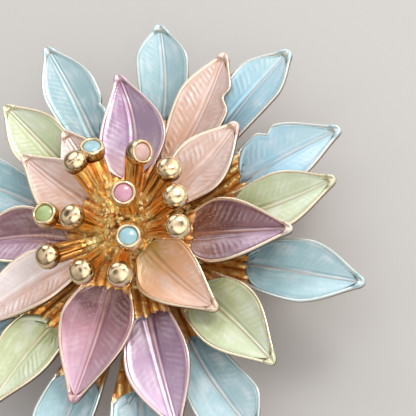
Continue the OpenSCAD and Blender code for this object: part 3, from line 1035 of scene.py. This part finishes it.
# %% Stamens
TOP_Z = HUB_Z[3]
FOOT_RING, FOOT_H, FOOT_R = 1.8, 0.8, 0.9
MOUND_R, MOUND_DOME, MOUND_LIFT = 4.3, 4.2, 0.45
BALL_R, CUP_R = 1.75, 1.8
TURNED_SIDES, BALL_STEPS = 56, 30
OBLATE, FLAT_TOP, SOFT = 0.93, 0.86, 6.0
HEAD_LEAN = 0.45  # a ball leans by this share of its post's lean
POST_TOP_R, NECK_UNDER = 1.42, 0.04
NECK_DROP = 0.8  # how far below the middle of a thimble its post ends
STAMENS = [
    # azimuth, radius and height of the head, azimuth and lean of its face, its enamel
    (104, 9.7, 7.4, 56, 27, "pool"), (120, 8.7, 8.3, 0, 0, None),
    (176, 8.6, 7.7, 15, 3, "moss"), (213, 9.6, 7.7, 0, 0, None),
    (248, 8.5, 7.7, 0, 0, None), (283, 9.0, 7.7, 0, 0, None),
    (342, 10.3, 7.7, 0, 0, None), (6, 9.5, 7.7, 0, 0, None),
    (30, 10.0, 7.7, 0, 0, None), (61, 9.2, 7.7, -18, 55, "blush"),
    (36, 3.3, 8.5, -30, 20, "rose"), (309, 5.5, 8.5, -9, 16, "pool"),
    (185, 4.5, 8.5, 0, 0, None),
]


def lathe(name, outline, material):
    """A closed turned shape from an outline of radius and height that ends on the axis."""
    model = bmesh.new()
    rings = []
    for radius, height in outline:
        if radius == 0:
            rings.append([model.verts.new((0, 0, height * MM))])
            continue
        rings.append([
            model.verts.new((radius * MM * math.cos(a), radius * MM * math.sin(a), height * MM))
            for a in (2 * math.pi * i / TURNED_SIDES for i in range(TURNED_SIDES))
        ])
    for low, high in zip(rings, rings[1:]):
        for i in range(TURNED_SIDES):
            j = (i + 1) % TURNED_SIDES
            corners = [ring[k % len(ring)] for ring, k in ((low, i), (low, j), (high, j), (high, i))]
            face = model.faces.new(list(dict.fromkeys(corners)))
            face.smooth = True
    mesh = bpy.data.meshes.new(name)
    model.to_mesh(mesh)
    model.free()
    mesh.materials.append(material)
    return mesh


def head_metal(name, outline):
    """A turned head that knows how far each of its points lies below its widest ring."""
    mesh = lathe(name, outline, antique)
    mark(mesh, "ball", 1.0)
    # how far below, for the painted shade on the head's underside
    mark(mesh, "below", [-v.co.z / MM for v in mesh.vertices])
    return mesh


def arc_outline(radius, first, last, steps):
    """Points on a ball, by the angle from straight down."""
    angles = [math.radians(first + (last - first) * i / steps) for i in range(steps + 1)]
    return [(radius * math.sin(a), -radius * math.cos(a)) for a in angles]


def ball_outline():
    """A ball pressed a little flat on top, where it was polished."""
    outline = [(0, -BALL_R * OBLATE)]
    for i in range(1, BALL_STEPS):
        a = math.pi * i / BALL_STEPS
        height = -BALL_R * OBLATE * math.cos(a)
        height = -math.log(math.exp(-height * SOFT) + math.exp(-FLAT_TOP * BALL_R * SOFT)) / SOFT
        outline.append((BALL_R * math.sin(a), height))
    return outline + [(0, outline[-1][1])]


CUP_OUTLINE = [
    # radius and height of each ring, from below
    (0, -CUP_R), *arc_outline(CUP_R, 8, 100, 16),
    (1.75, 0.52), (1.71, 0.72), (1.65, 0.88), (1.56, 0.99), (1.45, 1.05), (1.34, 1.04),
    (1.26, 0.97), (1.22, 0.84), (1.21, 0.66), (0, 0.66),
]
DOT_OUTLINE = [
    (0, 0.68), (1.17, 0.68), (1.19, 0.74), (1.16, 0.80), (1.06, 0.87), (0.90, 0.94),
    (0.70, 1.00), (0.45, 1.05), (0.2, 1.08), (0, 1.09),
]


def turned_to(azimuth, lean):
    """A turn that leans the upright by an angle, towards an azimuth."""
    return Matrix.Rotation(azimuth, 4, "Z") @ Matrix.Rotation(lean, 4, "Y")


gold = []
drops = 0
for number, (azimuth, radius, rise, face_azimuth, face_lean, colour) in enumerate(STAMENS):
    out = Vector((math.cos(math.radians(azimuth)), math.sin(math.radians(azimuth)), 0))
    foot = out * FOOT_RING + Vector((*AXIS, TOP_Z + MOUND_LIFT + FOOT_H))
    head = out * radius + Vector((*AXIS, TOP_Z + rise))
    face = turned_to(math.radians(face_azimuth), math.radians(face_lean))
    top = head if colour is None else head - face.to_3x3() @ Vector((0, 0, NECK_DROP))
    way = top - foot
    lean, heading = math.acos(way.z / way.length), math.atan2(way.y, way.x)
    gold.append(cook(post_recipe, "stamen", {
        "Foot": tuple(foot), "Long": way.length, "Lean": math.degrees(lean),
        "Azimuth": math.degrees(heading), "Foot radius": FOOT_R,
        "Neck": POST_TOP_R - NECK_UNDER, "Top radius": POST_TOP_R,
        "Seed": 7.0 * number, "Metal": antique,
    }))
    if colour is None:
        ball = head_metal("ball", ball_outline())
        ball.transform(Matrix.Translation(head * MM) @ turned_to(heading, lean * HEAD_LEAN))
        gold.append(ball)
        continue
    drops += 1
    standing = Matrix.Translation(head * MM) @ face
    cup = head_metal("cup", CUP_OUTLINE)
    cup.transform(standing)
    gold.append(cup)
    drop = lathe(f"stamen_drop_{drops}", DOT_OUTLINE, glasses[colour])
    drop.transform(standing)
    mark(drop, "run", 0.3)
    mark(drop, "drop", 1.0)
    settle(show(drop.name, drop), slot_of[colour], f"stamen_dot_{drops}")
gold.append(cook(disc_recipe, "mound", {
    "Radius": MOUND_R, "Top": TOP_Z + MOUND_LIFT, "Thick": 0.05, "Dome": MOUND_DOME,
    "Nuggets": 1.5, "Ridges": 26.0, "Rough": 1.3, "Seed": 31.0, "Metal": plate,
}))
stamens = join("stamen_gold", gold)
settle(stamens, "antique_gold", "stamens")
print("stamens:", len(STAMENS), "and", drops, "drops of enamel")

# %% [markdown]
# ## The pin behind
#
# The bar, its feet and the stem are a plain piece that nobody sees from the front. Their
# solid has knife-sharp edges, which metal never has, so this copy of it gets its flat faces
# merged and a narrow bevel that catches the light.

# %% Pin
BEVEL_WIDTH, BEVEL_STEPS = 0.12, 3
FLAT_ANGLE, SHARP_ANGLE = math.radians(1.0), math.radians(40)


def softened(node, name):
    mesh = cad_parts[node].data.copy()
    model = bmesh.new()
    model.from_mesh(mesh)
    bmesh.ops.remove_doubles(model, verts=model.verts, dist=1e-6)
    bmesh.ops.dissolve_limit(
        model, angle_limit=FLAT_ANGLE, verts=model.verts, edges=model.edges)
    model.to_mesh(mesh)
    model.free()
    mesh.materials.clear()
    mesh.materials.append(plate)
    piece = show(name, mesh)
    bevel = piece.modifiers.new("bevel", "BEVEL")
    bevel.width = BEVEL_WIDTH * MM
    bevel.segments = BEVEL_STEPS
    bevel.limit_method = "ANGLE"
    bevel.angle_limit = SHARP_ANGLE
    depsgraph = bpy.context.evaluated_depsgraph_get()
    made = bpy.data.meshes.new_from_object(piece.evaluated_get(depsgraph))
    bpy.data.objects.remove(piece)
    made.name = name
    return show(name, made)


pin = softened("pin_back", "pin")
# the pin takes half of the painted wall shade
mark(pin.data, "wall", 0.5)
settle(pin, "gold_plate", "pin_back")
print("pin faces:", len(pin.data.polygons))

# %% [markdown]
# ## Floor and light
#
# The brooch lies on a plain pale floor. One small soft lamp behind it on the right gives the
# floor its shadow. The rest of the light comes from the world: an even, dim grey with soft
# glows in it, most of them on the right and behind, as in the photograph, and two dark
# patches, so that the polished balls have something dark to mirror.

# %% Floor
FLOOR_HALF = 0.6
corners = [(x * FLOOR_HALF, y * FLOOR_HALF, 0) for x, y in ((-1, -1), (1, -1), (1, 1), (-1, 1))]
floor_mesh = bpy.data.meshes.new("floor")
floor_mesh.from_pydata(corners, [], [(0, 1, 2, 3)])
floor = show("floor", floor_mesh)
ground, *_ = paint("pale_floor", Base_Color=screen(0.76, 0.75, 0.74), Roughness=0.6)
floor_mesh.materials.append(ground)

# %% Light
KEY_TOWARD = Vector((0.48, 0.50, 0.80)).normalized()
KEY_AWAY = 0.45
lamp = bpy.data.lights.new("key", "AREA")
lamp.shape = "DISK"
lamp.size = 0.14
lamp.energy = 0.6
lamp.color = (1.0, 0.98, 0.95)
key = bpy.data.objects.new("key", lamp)
scene.collection.objects.link(key)
key.location = KEY_TOWARD * KEY_AWAY
key.rotation_euler = KEY_TOWARD.to_track_quat("Z", "Y").to_euler()

GLOW_INNER = 4
GLOWS = [
    # azimuth, elevation, outer degrees, strength, colour
    (0, 12, 42, 1.0, (0.98, 1.0, 1.0)),
    (45, 12, 42, 1.6, (1.05, 1.0, 0.92)),
    (63, 56, 27, 0.57, (1.0, 1.0, 0.98)),
    (110, 30, 27, 2.1, (0.97, 1.0, 1.08)),
    (168, 42, 32, 0.55, (1.0, 0.98, 0.96)),
    (225, 42, 42, 0.3, (0.98, 1.0, 1.0)),
    (315, 42, 42, 1.5, (0.96, 1.0, 1.02)),
    (0, 90, 42, 0.9, (0.98, 1.0, 1.02)),
]
SHADES = [
    # azimuth, elevation, inner and outer degrees, how dark
    (215, 71, 5, 16, 0.8),
    (150, 48, 5, 14, 0.8),
]
EVEN_GREY = (0.20, 0.18, 0.16)

world = bpy.data.worlds.new("studio")
world.use_nodes = True
scene.world = world
sky = Sheet(world.node_tree)
look = sky.node("ShaderNodeTexCoord", output="Generated")


def patch(azimuth, elevation, inner, outer):
    """1 near a direction and 0 beyond outer degrees from it."""
    a, e = math.radians(azimuth), math.radians(elevation)
    toward = Vector((math.cos(a) * math.cos(e), math.sin(a) * math.cos(e), math.sin(e)))
    lean = sky.vector("DOT_PRODUCT", look, toward.normalized(), output="Value")
    return sky.rise(lean, math.cos(math.radians(outer)), math.cos(math.radians(inner)))


room = EVEN_GREY
for azimuth, elevation, outer, strength, tint in GLOWS:
    shine = tuple(strength * channel for channel in tint)
    lit = sky.scale(shine, patch(azimuth, elevation, GLOW_INNER, outer))
    room = sky.vector("ADD", room, lit)
for azimuth, elevation, inner, outer, dark in SHADES:
    room = sky.scale(room, 1.0 - dark * patch(azimuth, elevation, inner, outer))
back_drop = world.node_tree.nodes["Background"]
sky.tree.links.new(room.socket, back_drop.inputs["Color"])
scene.view_settings.view_transform = "Standard"
